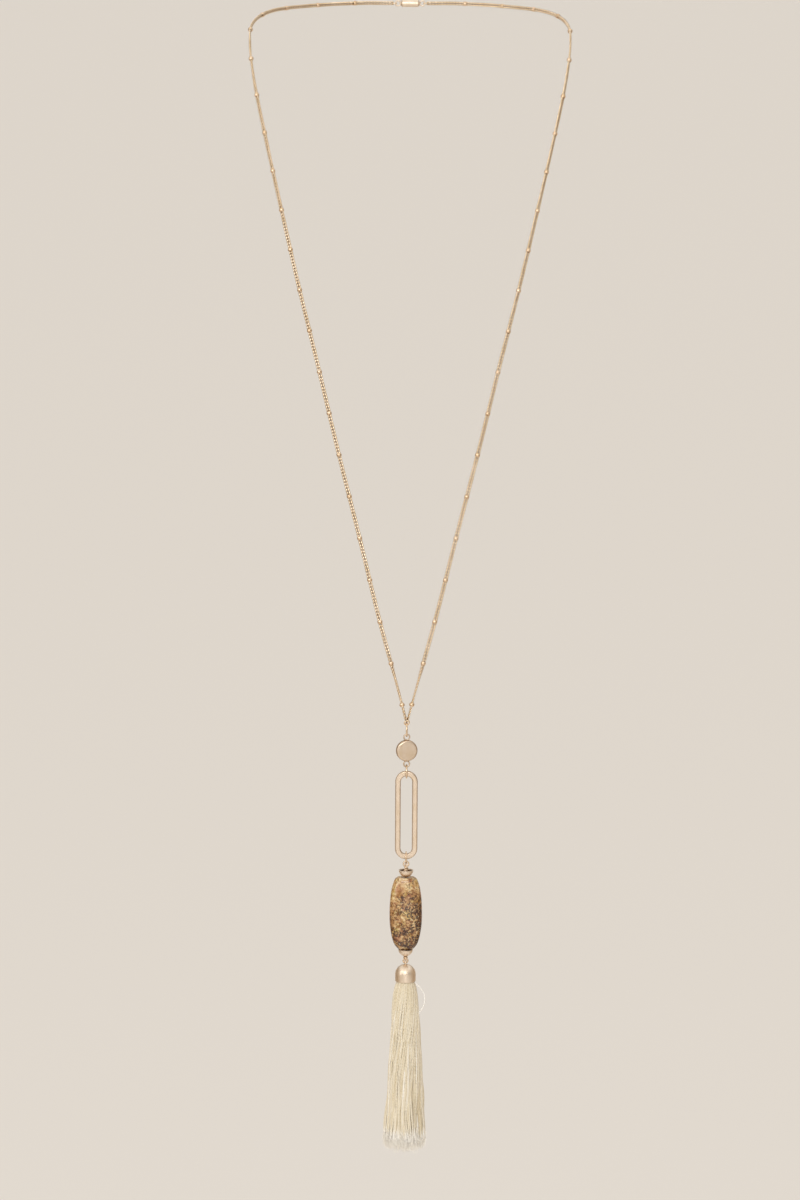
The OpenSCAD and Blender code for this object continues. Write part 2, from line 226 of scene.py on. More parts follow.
# Tumbled plating on the rings and pin: small round highlights
champagne_plate = gold("champagne_gold_plate", "#EED8BE", "#DFC5A5", 0.24, 0.05, TUMBLED, 0.003 * MM)
# The same plating on the chain, with painted shade deep between the links
chain_plate = gold("champagne_gold_chain_plate", "#F3E0C6", "#E6D0B0", 0.24, 0.05, TUMBLED,
                   0.003 * MM, recess_shade_colour="#A07D59")
# Satin finish, brush-marked up and down: one broad soft highlight along each leg of the link, and painted
# shade on the rounded edges that face aside
brushed_plate = gold("brushed_champagne_gold", "#DFCDB9", "#D9C5AC", 0.36, 0.06, BRUSHED_UPRIGHT,
                     0.010 * MM, edge_shade_colour="#B4987B")
# Satin-polished plating on the bell and the clasp: one soft highlight and slow shades
polished_plate = gold("polished_champagne_gold", "#EDDDCA", "#E6D3BC", 0.4, 0.01, SATIN, 0.0004 * MM)
# The same on the cups, with painted shade inside them
cup_plate = gold("polished_champagne_gold_cup", "#EDDDCA", "#E6D3BC", 0.4, 0.01, SATIN, 0.0004 * MM,
                 recess_shade_colour="#5E3F22")
# Bright polished plating on the balls: one small sharp highlight over darker sides
ball_plate = gold("champagne_gold_ball_plate", "#EDD4B8", "#DFC19D", 0.16, 0.03, TUMBLED, 0.001 * MM)


# Sizes of the jasper's grains and of their wander
GRAIN = 0.95 * MM
GRAIN_WANDER = 1.1 * MM
# How much painted light makes it paler towards the upper left, and painted shade more speckled towards the
# lower right, over a metre along X, Y and Z
PAINTED_LIGHT_BY = (-7, 0, 3)
SHADE_SPECKLED_BY = (10, 0, -4.5)
# How much its dark specks crowd together
HEAPED = 0.55
# The pale patch at the front, from the bead's middle
PATCH_PLACE = (0.9 * MM, -4.8 * MM, 0.5 * MM)


def jasper():
    """Speckled brown jasper, tumbled and polished: a glassy face over a grainy golden-brown ground.

    Grains of about 1 mm, each of its own tone, lie in clouds of about 3.5 mm that wander between
    cream, ochre and dark brown with a little olive and mauve. Painted shade gathers dark specks at
    the lower right and darkens both sides. Painted light makes the upper left palest, with a pale
    patch at the middle.
    """
    material, tree, place = start_material("polished_speckled_jasper")
    low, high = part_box("stone_bead")
    middle = (low + high) / 2
    from_middle = add_node(tree, "ShaderNodeVectorMath", {
        0: place, 1: (middle.x, middle.y, middle.z)}, operation="SUBTRACT").outputs["Vector"]
    wander = add_node(tree, "ShaderNodeTexNoise", {"Vector": place, "Scale": 1 / GRAIN_WANDER, "Detail": 3})
    bent = add_node(tree, "ShaderNodeVectorMath", {
        0: wander.outputs["Color"], 1: (GRAIN_WANDER,) * 3, 2: place},
        operation="MULTIPLY_ADD").outputs["Vector"]

    # Lumps that wander from 0 to 1, by their size, detail and seed
    cloud, mottle, olive, mauve, specks, heaps, threads_of_iron, flecks = (
        add_node(tree, "ShaderNodeTexNoise", {
            "Vector": bent, "Scale": 1 / size, "Detail": detail, "Roughness": 0.6, "W": seed},
            noise_dimensions="4D").outputs["Fac"]
        for size, detail, seed in (
            (3.4 * MM, 3, 0.0), (1.1 * MM, 3, 5.2), (4.2 * MM, 2, 3.1), (3.6 * MM, 2, 7.7),
            (0.85 * MM, 3, 17.9), (3.8 * MM, 2, 23.3), (2.0 * MM, 2, 31.1), (0.7 * MM, 1, 41.7)))
    grains = add_node(tree, "ShaderNodeTexVoronoi", {"Vector": bent, "Scale": 1 / GRAIN})
    grain_tone = add_node(tree, "ShaderNodeSeparateColor", {
        "Color": grains.outputs["Color"]}).outputs["Red"]

    # Where the bead is paler or darker: painted light towards the upper left, a pale patch at the middle,
    # and painted shade along its sides
    painted_light_up_left = add_node(tree, "ShaderNodeVectorMath", {
        0: from_middle, 1: PAINTED_LIGHT_BY}, operation="DOT_PRODUCT").outputs["Value"]
    to_patch = add_node(tree, "ShaderNodeVectorMath", {
        0: from_middle, 1: PATCH_PLACE}, operation="DISTANCE").outputs["Value"]
    patch = add_node(tree, "ShaderNodeMapRange", {
        "Value": to_patch, "From Min": 1.2 * MM, "From Max": 3.6 * MM, "To Min": 1, "To Max": 0},
        interpolation_type="SMOOTHSTEP").outputs["Result"]
    across = add_node(tree, "ShaderNodeSeparateXYZ", {"Vector": from_middle}).outputs["X"]
    aside = add_node(tree, "ShaderNodeMath", {0: across}, operation="ABSOLUTE").outputs["Value"]
    # Painted shade along both sides of the bead
    painted_side_shade = add_node(tree, "ShaderNodeMapRange", {
        "Value": aside, "From Min": 5.2 * MM, "From Max": 7.2 * MM}, interpolation_type="SMOOTHSTEP")
    tone = painted_light_up_left
    for part, weight in ((cloud, 0.75), (mottle, 0.6), (grain_tone, 0.2), (patch, 0.07),
                         (painted_side_shade.outputs["Result"], -0.13)):
        tone = add_node(tree, "ShaderNodeMath", {0: part, 1: weight, 2: tone},
                        operation="MULTIPLY_ADD").outputs["Value"]
    colour = add_node(tree, "ShaderNodeValToRGB", {"Fac": tone}, stops=[
        (0.52, "#40261A"), (0.61, "#744A2A"), (0.69, "#9C7144"), (0.77, "#BB9260"),
        (0.85, "#CFAC7A"), (0.96, "#E3CB9E")]).outputs["Color"]

    # Stains that tint the ground and keep its grain
    for lump, start, end, most, tint in (
            (olive, 0.5, 0.62, 0.8, "#DDD79C"), (mauve, 0.5, 0.64, 0.8, "#CDA095"),
            (patch, 0.2, 0.9, 0.6, "#E9E7A8")):
        amount = add_node(tree, "ShaderNodeMapRange", {
            "Value": lump, "From Min": start, "From Max": end, "To Max": most}).outputs["Result"]
        colour = add_node(tree, "ShaderNodeMix", {
            "Factor": amount, "A": colour, "B": linear(tint)},
            data_type="RGBA", blend_type="MULTIPLY").outputs["Result"]

    # Dark specks and short iron threads, and pale quartz flecks, over it
    # Painted shade: the real dark specks crowd towards the lower right
    painted_shade_low_right = add_node(tree, "ShaderNodeVectorMath", {
        0: from_middle, 1: SHADE_SPECKLED_BY}, operation="DOT_PRODUCT").outputs["Value"]
    crowded = add_node(tree, "ShaderNodeMath", {
        0: heaps, 1: HEAPED, 2: painted_shade_low_right}, operation="MULTIPLY_ADD").outputs["Value"]
    speck_load = add_node(tree, "ShaderNodeMath", {0: specks, 1: crowded}, operation="ADD").outputs["Value"]
    off_thread = add_node(tree, "ShaderNodeMath", {
        0: threads_of_iron, 1: 0.5}, operation="SUBTRACT").outputs["Value"]
    near_thread = add_node(tree, "ShaderNodeMath", {0: off_thread}, operation="ABSOLUTE").outputs["Value"]
    on_thread = add_node(tree, "ShaderNodeMapRange", {
        "Value": near_thread, "From Min": 0.012, "From Max": 0.03,
        "To Min": 0.5, "To Max": 0}).outputs["Result"]
    broken_thread = add_node(tree, "ShaderNodeMath", {
        0: on_thread, 1: add_node(tree, "ShaderNodeMapRange", {
            "Value": specks, "From Min": 0.44, "From Max": 0.54}).outputs["Result"]},
        operation="MULTIPLY").outputs["Value"]
    for lump, start, end, most, tint in (
            (broken_thread, 0.0, 0.5, 0.6, "#4A2A17"), (speck_load, 0.79, 0.88, 0.92, "#3A2118"),
            (flecks, 0.64, 0.72, 0.75, "#EBD9B0")):
        amount = add_node(tree, "ShaderNodeMapRange", {
            "Value": lump, "From Min": start, "From Max": end, "To Max": most}).outputs["Result"]
        colour = add_node(tree, "ShaderNodeMix", {
            "Factor": amount, "A": colour, "B": linear(tint)}, data_type="RGBA").outputs["Result"]

    pits = add_node(tree, "ShaderNodeBump", {"Height": specks, "Strength": 1, "Distance": 0.012 * MM})
    finish_material(tree, {
        "Base Color": colour, "Roughness": 0.22, "IOR": 1.54, "Coat Weight": 0.15,
        "Coat Roughness": 0.08, "Normal": pits.outputs["Normal"]})
    return material


# Two plies make one turn in this length of a thread
PLY_TURN = 1.6 * MM
PLIES = 2


def cotton():
    """Ivory two-ply cotton thread: matt with a faint sheen, its twist drawn from the mesh's own lie."""
    material, tree, _ = start_material("ivory_cotton_thread")
    tone = add_node(tree, "ShaderNodeAttribute", attribute_name="tone")
    colour = add_node(tree, "ShaderNodeValToRGB", {"Fac": tone.outputs["Fac"]}, stops=[
        (0.0, "#DCCDAF"), (0.35, "#E6DABF"), (0.7, "#EDE4D1"), (1.0, "#FFFCF6")])
    lie = add_node(tree, "ShaderNodeAttribute", attribute_name="lie")
    parts = add_node(tree, "ShaderNodeSeparateXYZ", {"Vector": lie.outputs["Vector"]})
    around = add_node(tree, "ShaderNodeMath", {
        0: parts.outputs["Y"], 1: parts.outputs["X"]}, operation="ARCTAN2")
    climb = add_node(tree, "ShaderNodeMath", {
        0: parts.outputs["Z"], 1: tau / PLY_TURN}, operation="MULTIPLY")
    wound = add_node(tree, "ShaderNodeMath", {
        0: around.outputs["Value"], 1: PLIES, 2: climb.outputs["Value"]}, operation="MULTIPLY_ADD")
    plies = add_node(tree, "ShaderNodeMath", {0: wound.outputs["Value"]}, operation="SINE")
    relief = add_node(tree, "ShaderNodeBump", {
        "Height": plies.outputs["Value"], "Strength": 1, "Distance": 0.04 * MM})
    finish_material(tree, {
        "Base Color": colour.outputs["Color"], "Roughness": 0.6, "IOR": 1.5,
        "Sheen Weight": 0.3, "Sheen Roughness": 0.4, "Normal": relief.outputs["Normal"]})
    return material


speckled_jasper = jasper()
ivory_thread = cotton()


# -------- making meshes

def put_in_scene(name, data):
    """An object of this name and data, in the scene."""
    thing = bpy.data.objects.new(name, data)
    bpy.context.scene.collection.objects.link(thing)
    return thing


def unit(vector):
    """The vector's direction, at unit length."""
    return vector / np.linalg.norm(vector)


def square_to(vector, direction):
    """The part of vector square to a unit direction, at unit length."""
    return unit(vector - (vector @ direction) * direction)


def spline(points, steps):
    """Catmull-Rom curve through the points, as the source's own curve."""
    p = np.array(points, float)
    q = np.vstack([2 * p[0] - p[1], p, 2 * p[-1] - p[-2]])
    t = (np.arange(steps) / steps)[:, None]
    spans = []
    for a, b, c, d in zip(q, q[1:], q[2:], q[3:]):
        spans.append((2 * b + (c - a) * t + (2 * a - 5 * b + 4 * c - d) * t ** 2
                      + (3 * b - a - 3 * c + d) * t ** 3) / 2)
    return np.vstack(spans + [p[-1:]])


def run_of(points):
    """Distance along a line of points."""
    return np.concatenate([[0], np.cumsum(np.linalg.norm(np.diff(points, axis=0), axis=1))])


def along(points, distances):
    """Points at distances along a line of points."""
    run = run_of(points)
    return np.stack([np.interp(distances, run, points[:, axis]) for axis in range(3)], axis=-1)


def skin(rings, sides, closed):
    """Faces between rings of vertices that follow each other; closed joins the last to the first."""
    k = np.arange(sides)
    n = (k + 1) % sides
    first = np.arange(rings if closed else rings - 1)[:, None]
    second = (first + 1) % rings
    quads = np.stack([first * sides + k, first * sides + n, second * sides + n, second * sides + k], -1)
    return quads.reshape(-1, 4).tolist()


def sweep(points, radius, sides):
    """A round wire or thread along points, with flat ends, and how its skin lies.

    The lie is, for each vertex, the cosine and sine of its place round the wire and its distance
    along it. radius is one value, or one for each point.
    """
    points = np.asarray(points, float)
    count = len(points)
    tangents = np.gradient(points, axis=0)
    tangents /= np.linalg.norm(tangents, axis=1)[:, None]
    sideways = square_to(np.array([1.0, 0, 0]), tangents[0])
    frames = []
    for tangent in tangents:
        sideways = square_to(sideways, tangent)
        frames.append((sideways, np.cross(tangent, sideways)))
    u = np.array([f[0] for f in frames])[:, None]
    v = np.array([f[1] for f in frames])[:, None]
    angles = np.arange(sides) * tau / sides
    c, s = np.cos(angles)[None, :, None], np.sin(angles)[None, :, None]
    reach = np.broadcast_to(radius, count)[:, None, None]
    vertices = (points[:, None] + (u * c + v * s) * reach).reshape(-1, 3)
    faces = skin(count, sides, closed=False)
    faces.append(list(range(sides))[::-1])
    faces.append([(count - 1) * sides + k for k in range(sides)])
    lie = np.stack([np.broadcast_to(c[..., 0], (count, sides)), np.broadcast_to(s[..., 0], (count, sides)),
                    np.broadcast_to(run_of(points)[:, None], (count, sides))], -1).reshape(-1, 3)
    return vertices, faces, lie


def turned(profile, centre, segments, axis=(0, 0, 1)):
    """A closed profile of (radius, height) points turned round an axis through the centre."""
    axis = unit(np.asarray(axis, float))
    side = square_to(np.array([1.0, 0, 0]) if abs(axis[0]) < 0.9 else np.array([0, 1.0, 0]), axis)
    other = np.cross(axis, side)
    profile = np.asarray(profile, float)
    angles = np.arange(segments) * tau / segments
    rims = np.cos(angles)[:, None] * side + np.sin(angles)[:, None] * other
    vertices = np.asarray(centre) + rims[:, None] * profile[:, 0][None, :, None] \
        + axis * profile[:, 1][None, :, None]
    return vertices.reshape(-1, 3), skin(segments, len(profile), closed=True), None


def arc(radius, start, end, count, centre=(0, 0)):
    """Points on an arc in a profile, angles in degrees."""
    angles = np.radians(np.linspace(start, end, count))
    return [(centre[0] + radius * cos(a), centre[1] + radius * sin(a)) for a in angles]


def torus(centre, radius, wire, axis, segments, sides):
    """A closed ring of wire round an axis."""
    return turned(arc(wire / 2, 0, 360 - 360 / sides, sides, (radius, 0)), centre, segments, axis)


def add_piece(name, parts, material, body, replaced=(), tones=None, smooth=True):
    """Joins parts into one mesh that rides on a CAD body and stands for the replaced nodes.

    Each part is its vertices, faces and lie. tones are one value for each part, or one for each of
    its vertices.
    """
    vertices, faces, lies, start = [], [], [], 0
    for points, part_faces, lie in parts:
        vertices.append(points)
        faces.extend([[i + start for i in face] for face in part_faces])
        lies.append(np.zeros((len(points), 3)) if lie is None else lie)
        start += len(points)
    mesh = bpy.data.meshes.new(name)
    mesh.from_pydata(np.vstack(vertices).tolist(), [], faces)
    mesh.polygons.foreach_set("use_smooth", [smooth and len(face) == 4 for face in faces])
    if tones is not None:
        tone = np.concatenate([np.broadcast_to(t, len(p[0])) for p, t in zip(parts, tones)])
        mesh.attributes.new("tone", "FLOAT", "POINT").data.foreach_set("value", tone.astype(np.float32))
        mesh.attributes.new("lie", "FLOAT_VECTOR", "POINT").data.foreach_set(
            "vector", np.vstack(lies).astype(np.float32).ravel())
    mesh.materials.append(material)
    mesh.update()
    piece = put_in_scene(name, mesh)
    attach(piece, body)
    if replaced:
        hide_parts(*replaced)


# -------- where the pieces hang

def middle_of(node):
    """Middle, lowest corner and highest corner of a node."""
    low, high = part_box(node)
    return np.array((low + high) / 2), np.array(low), np.array(high)


top_middle, top_low, top_high = middle_of("top_ring")
# The middle of the top ring's wire where both chains hold it
hang = top_high * (0, 0, 1) + top_middle * (1, 1, 0) - (0, 0, RING_WIRE / 2)
top_r = (top_high[2] - top_low[2] - RING_WIRE) / 2
clasp_middle, _, clasp_high = middle_of("clasp")
stem_x, stem_y = top_middle[:2]


def pull(side):
    """Direction in which a chain pulls its lowest end ring."""
    return unit(np.array([side * ROUTE[0][0], 0, ROUTE[0][2] - hang[2]]))


def low_ring_place(side):
    """Middle of the end ring that hangs on the top ring, beside that of the other chain."""
    offset = CHAIN_W / 2
    fall = top_r - (top_r ** 2 - offset ** 2) ** 0.5
    reach = END_RING_R - (RING_WIRE + END_RING_WIRE) / 2 - HANG_GAP
    return hang + np.array([0, side * offset, -fall]) + pull(side) * reach


def clasp_ring_place(side):
    """Middle of the end ring that hooks into the clasp's eye."""
    eye_wire_x = clasp_high[0] - CLASP_EYE_WIRE / 2
    reach = eye_wire_x - (CLASP_EYE_WIRE + END_RING_WIRE) / 2 - HANG_GAP + END_RING_R
    return clasp_middle + np.array([side * reach, 0, 0])


# -------- chain

def chain_curve(side):
    """The chain's line from the wire of its lowest ring to the wire of its ring at the clasp."""
    start = low_ring_place(side) + pull(side) * END_RING_R
    end = clasp_ring_place(side) + np.array([side * END_RING_R, 0, 0])
    route = [(side * x, y, z) for x, y, z in ROUTE]
    return spline([start, *route, end], ROUTE_STEPS)


# The middle of the loop's top from front to back, how far the loop reaches to the front, and how much
# a link's place aside counts for the way that it faces, at the pendant and at the top
LOOP_MIDDLE_Y = 0.02
FRONT_REACH = 0.1
FACES_ASIDE = (0.1, 1.2)

LINK_LENGTH = LINK_PITCH + LINK_WIRE + LINK_SLACK
LINK_STEPS, LINK_SIDES = 20, 8
# Shares of the way out from the chain's axis between which a link goes from painted shade to its plain
# plating
RECESS = (0.45, 0.9)
# The chain rolls a little this way and that: a long sway and a short one, and their runs
LONG_ROLL, LONG_ROLL_RUN = radians(7), 63 * MM
SHORT_ROLL, SHORT_ROLL_RUN = radians(4), 24 * MM
END_RING_STEPS, END_RING_SIDES = 32, 12


def outward(point):
    """Direction in which the chain's flat side faces: to the front low down, aside at the top."""
    aside = np.interp(point[1], (-FRONT_REACH, 0), FACES_ASIDE)
    return unit(np.array([point[0] * aside, point[1] - LOOP_MIDDLE_Y * (1 - point[1] / FRONT_REACH), 0]))


def curb_link(start_turn, end_turn):
    """One link round its own middle: along x, flat in x-y, twisted from one end to the other."""
    half = (LINK_W - LINK_WIRE) / 2
    leg = LINK_LENGTH / 2 - half
    bends = np.arange(LINK_STEPS) / LINK_STEPS * tau
    outline = np.array([(half * cos(a) + (leg if cos(a) > 0 else -leg), half * sin(a)) for a in bends])
    turn = start_turn + (end_turn - start_turn) * (outline[:, 0] / LINK_LENGTH + 0.5)
    line = np.stack([outline[:, 0], outline[:, 1] * np.cos(turn), outline[:, 1] * np.sin(turn)], -1)
    flat = np.stack([np.zeros(len(turn)), -np.sin(turn), np.cos(turn)], -1)
    tangents = np.roll(line, -1, axis=0) - np.roll(line, 1, axis=0)
    tangents /= np.linalg.norm(tangents, axis=1)[:, None]
    up = flat - (flat * tangents).sum(1)[:, None] * tangents
    up /= np.linalg.norm(up, axis=1)[:, None]
    over = np.cross(tangents, up)
    angles = (np.arange(LINK_SIDES) + 0.5) * tau / LINK_SIDES
    # The rollers widen the wire most where it stands proudest
    rolled = np.clip(np.abs(line[:, 2]) / (half * sin(LINK_TWIST)), 0, 1) ** 2
    wider = 1 + (LINK_FLATTENED - 1) * rolled
    section = up[:, None] * np.cos(angles)[None, :, None] \
        + (over * wider[:, None])[:, None] * np.sin(angles)[None, :, None]
    vertices = (line[:, None] + section * LINK_WIRE / 2).reshape(-1, 3)
    vertices[:, 2] = np.clip(vertices[:, 2], -LINK_THICK / 2, LINK_THICK / 2)
    return vertices, skin(LINK_STEPS, LINK_SIDES, closed=True)


def chain_links(side):
    """Every link of one half of the chain, hooked into the next, the two end rings, and their tones."""
    curve = chain_curve(side)
    total = run_of(curve)[-1]
    hook = (END_RING_WIRE + LINK_WIRE) / 2 + LINK_SLACK
    first = LINK_LENGTH / 2 - hook
    last = total - first
    count = round((last - first) / LINK_PITCH) + 1
    middles = np.linspace(first, last, count)
    plain, plain_faces = curb_link(-LINK_TWIST, LINK_TWIST)
    # The links at the ends turn square to the wire of the ring that they hook into
    first_link, _ = curb_link(pi / 2 - EDGE_ROLL, LINK_TWIST)
    last_link, _ = curb_link(-LINK_TWIST, 0)
    parts, tones = [], []
    for i, s in enumerate(middles):
        before, here, after = along(curve, [s - LINK_PITCH / 2, s, s + LINK_PITCH / 2])
        if i == 0:
            before = here - pull(side) * LINK_PITCH / 2
        tangent = unit(after - before)
        away = square_to(outward(here), tangent)
        roll = np.interp(s, (ON_EDGE, FLAT_FROM), (EDGE_ROLL, 0)) \
            + LONG_ROLL * sin(s * tau / LONG_ROLL_RUN + side) + SHORT_ROLL * sin(s * tau / SHORT_ROLL_RUN)
        if i == 0:
            roll = EDGE_ROLL
        flat_side = np.cross(away, tangent) * cos(roll) + away * sin(roll)
        normal = np.cross(tangent, flat_side)
        link = first_link if i == 0 else last_link if i == count - 1 else plain
        parts.append((here + link @ np.stack([tangent, flat_side, normal]), plain_faces, None))
        from_axis = np.hypot(link[:, 1] / (LINK_W / 2), link[:, 2] / (LINK_THICK / 2))
        # Painted shade deep in each link, near the chain's axis where the links cross
        tones.append(np.interp(from_axis, RECESS, (0, 1)))
    for place, axis in ((low_ring_place(side), (0, 1, 0)), (clasp_ring_place(side), (0, 0, 1))):
        parts.append(torus(place, END_RING_R, END_RING_WIRE, axis, END_RING_STEPS, END_RING_SIDES))
    return parts, [*tones, 1.0, 1.0]


BALL_STEPS, BALL_SIDES = 15, 24
# Half the stretch of chain that a ball lines up with
BALL_AIM = 1 * MM
# A ball's bore is rolled in: its wall's shares of the bore's radius and of its length
ROLLED_BORE = (0.97, 0.8)


def chain_balls(side):
    """Polished hollow balls, their bores rolled in round the chain."""
    curve = chain_curve(side)
    total = run_of(curve)[-1]
    count = int((total - FIRST_BALL - BALL_PITCH / 2) // BALL_PITCH) + 1
    ball_r, bore_r = BALL_D / 2, CHAIN_W / 2 + BALL_GAP
    edge = np.degrees(np.arccos(bore_r / ball_r))
    wall_r, wall_end = bore_r * ROLLED_BORE[0], ROLLED_BORE[1] * ball_r * sin(radians(edge))
    profile = arc(ball_r, edge, -edge, BALL_STEPS) + [(wall_r, -wall_end), (wall_r, wall_end)]
    parts = []
    for i in range(count):
        s = FIRST_BALL + i * BALL_PITCH
        before, here, after = along(curve, [s - BALL_AIM, s, s + BALL_AIM])
        parts.append(turned(profile, here, BALL_SIDES, after - before))
    return parts


for word, side in (("left", -1), ("right", 1)):
    links, link_tones = chain_links(side)
    add_piece(f"curb_chain_{word}", links, chain_plate, "chain", [f"chain_{word}"],
              tones=link_tones)
    add_piece(f"chain_balls_{word}", chain_balls(side), ball_plate, "chain",
              [f"chain_beads_{word}"])


# -------- jump rings

# Half the angle of a jump ring's cut, in degrees
RING_CUT = 1.1
RING_STEPS, WIRE_SIDES = 60, 14


def jump_ring(node):
    """A cut ring of round wire, edge-on to the front, its cut at the back. Its body has its name."""
    middle, low, high = middle_of(node)
    radius = (high[2] - low[2] - RING_WIRE) / 2
    angles = np.radians(np.linspace(RING_CUT, 360 - RING_CUT, RING_STEPS))
    line = [middle + np.array([0, radius * cos(a), radius * sin(a)]) for a in angles]
    add_piece(f"{node}_wire", [sweep(line, RING_WIRE / 2, WIRE_SIDES)], champagne_plate, node,
              [node])


for node in ("top_ring", "middle_ring", "lower_ring"):
    jump_ring(node)


# -------- eye pin

pin_low, pin_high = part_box("eye_pin")
cup_low, cup_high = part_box("top_cup")
cup_r = (cup_high.x - cup_low.x) / 2
low_cup_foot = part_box("bottom_cup")[0].z
top_eye_r = (TOP_EYE_D - PIN_WIRE) / 2
low_eye_r = (LOW_EYE_D - PIN_WIRE) / 2
top_eye_z = pin_high.z - TOP_EYE_D / 2
low_eye_z = pin_low.z + LOW_EYE_D / 2
# The turns lie round the stem, those of the upper eye on each other. The lower eye has room for hardly
# one turn, so its wire nearly closes on itself
WRAP_R = PIN_WIRE
TOP_WRAP_PITCH = PIN_WIRE * 1.02
LOW_WRAP_PITCH = 0.12 * MM
WRAP_GAP = 0.1 * MM
# Bends below an eye, from its lowest point: up the stem into the eye, and out of it over the front
BEND_IN = ((0, 0, -0.75 * MM), (0, 0, -0.35 * MM), (0.16 * MM, 0, -0.08 * MM))
BEND_OUT = (-0.42 * MM, -0.40 * MM, -0.28 * MM)
WRAP_START = 0.55 * MM
# Angles round the eye from its lowest point, and along the turns, in degrees: first, end and step
EYE_ANGLES = (22, 340, 9)
WRAP_FIRST_ANGLE, WRAP_STEP = -100, 20
PIN_SIDES, PIN_CURVE_STEPS = 12, 3


def wrapped_eye(radius, wrap_end, pitch):
    """Line of a wrapped eye, its eye's middle at 0 and the stem below it.

    It comes up the stem, goes round the eye, crosses in front and winds down the stem to wrap_end.
    """
    base = -radius
    line = [(x, y, base + z) for x, y, z in BEND_IN]
    for angle in np.radians(np.arange(*EYE_ANGLES)):
        line.append((radius * sin(angle), 0, -radius * cos(angle)))
    line.append((BEND_OUT[0], BEND_OUT[1], base + BEND_OUT[2]))
    start = base - WRAP_START
    turns = (start - wrap_end) / pitch
    for a in np.arange(0, turns * 360 + 1, WRAP_STEP):
        angle = radians(a + WRAP_FIRST_ANGLE)
        line.append((WRAP_R * cos(angle), WRAP_R * sin(angle), start - pitch * a / 360))
    return np.array(line)


def whole_pin():
    """One wire: the lower eye upside down, the stem and the upper eye."""
    at = np.array([stem_x, stem_y, 0])
    wrap_depth = ((cup_r - CUP_WALL - WRAP_GAP - PIN_WIRE / 2) ** 2 - WRAP_R ** 2) ** 0.5
    upper = wrapped_eye(top_eye_r, cup_high.z - wrap_depth - top_eye_z, TOP_WRAP_PITCH)
    under_cup = low_cup_foot - WRAP_GAP - PIN_WIRE / 2
    lower = wrapped_eye(low_eye_r, -(under_cup - low_eye_z), LOW_WRAP_PITCH) * (1, 1, -1)
    line = np.vstack([lower[::-1] + at + (0, 0, low_eye_z), upper + at + (0, 0, top_eye_z)])
    return spline(line, PIN_CURVE_STEPS)


add_piece("eye_pin_wire", [sweep(whole_pin(), PIN_WIRE / 2, PIN_SIDES)], champagne_plate, "stone_drop",
          ["eye_pin"])


# -------- cups and bell

CUP_SEGMENTS, CUP_STEPS, LIP_STEPS = 56, 22, 7
# The walls stop this many degrees under the rim, where its roll begins
UNDER_RIM = 3
# Shares of the way down the inside between which it goes from its plain plating to painted shade
UNSHADED_RIM = (0, 1 / 7)


def cup(node):
    """A half-ball cup with its open side up, a rolled rim and a drilled foot."""
    low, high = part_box(node)
    outer = (high.x - low.x) / 2
    inner = outer - CUP_WALL
    hole = np.degrees(np.arcsin(BORE_R / outer))
    lip = CUP_WALL / 2
    profile = arc(outer, -90 + hole, -UNDER_RIM, CUP_STEPS) \
        + arc(lip, 0, 180, LIP_STEPS, (outer - lip, -lip)) \
        + arc(inner, -UNDER_RIM, -90 + hole * outer / inner, CUP_STEPS)
    # Painted shade inside the cup below its rim
    inside = np.interp(np.linspace(0, 1, CUP_STEPS), UNSHADED_RIM, (1, 0))
    openness = np.concatenate([np.ones(CUP_STEPS + LIP_STEPS), inside])
    add_piece(f"{node}_shell", [turned(profile, (stem_x, stem_y, high.z), CUP_SEGMENTS)], cup_plate,
              "stone_drop", [node], tones=[np.tile(openness, CUP_SEGMENTS)])


cup("top_cup")
cup("bottom_cup")

cap_low, cap_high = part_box("tassel_cap")
cap_r = (cap_high.x - cap_low.x) / 2
cap_rim = cap_low.z
BAIL_R = 0.8 * MM
BAIL_STEPS, BAIL_SIDES = 36, 12
bail_z = cap_high.z - PIN_WIRE / 2 - BAIL_R
cap_top = bail_z - BAIL_R + CAP_WALL / 2
BELL_SEGMENTS, CROWN_STEPS, INNER_CROWN_STEPS = 72, 26, 18
# The crown stops short of its middle, in degrees, and closes in a small flat of this radius
CROWN_END = 87
CROWN_FLAT_R = 0.12 * MM
# Rows down the outside of the skirt and up its inside, as shares of its height
SKIRT_DOWN, SKIRT_UP = (0.3, 0.6, 0.88), (0.2, 0.6)


def bell_profile():
    """Half ball on a straight skirt that ends in a rolled rim."""
    lip = CAP_WALL / 2
    crown = cap_top - cap_r
    skirt = crown - cap_rim
    return [(CROWN_FLAT_R, cap_top)] + arc(cap_r, CROWN_END, 0, CROWN_STEPS, (0, crown)) \
        + [(cap_r, crown - skirt * share) for share in SKIRT_DOWN] \
        + arc(lip, 0, -180, LIP_STEPS, (cap_r - lip, cap_rim + lip)) \
        + [(cap_r - CAP_WALL, cap_rim + skirt * share) for share in SKIRT_UP] \
        + arc(cap_r - CAP_WALL, 0, CROWN_END, INNER_CROWN_STEPS, (0, crown)) \
        + [(CROWN_FLAT_R, cap_top - CAP_WALL)]


bell = turned(bell_profile(), (stem_x, stem_y, 0), BELL_SEGMENTS)
bail = torus((stem_x, stem_y, bail_z), BAIL_R, PIN_WIRE, (1, 0, 0), BAIL_STEPS, BAIL_SIDES)
add_piece("bell_cap", [bell, bail], polished_plate, "tassel_drop", ["tassel_cap"])


# -------- stone

STONE_SEGMENTS, STONE_ROWS, STONE_FORM_STEPS = 72, 64, 4
# Worn edge of the end faces: how far along the bead it reaches, and how far it goes in and down
WORN_EDGE, WORN_IN, WORN_DOWN = 0.35 * MM, 0.05, 0.06 * MM
# Rows of an end face from the bore out: share of the way to the edge, depth below the face
STONE_FACE = [
    (0, 0.4 * MM), (0, 0.12 * MM), (0.03, 0), (0.3, 0), (0.6, 0), (0.85, 0), (0.95, 0.02 * MM),
]


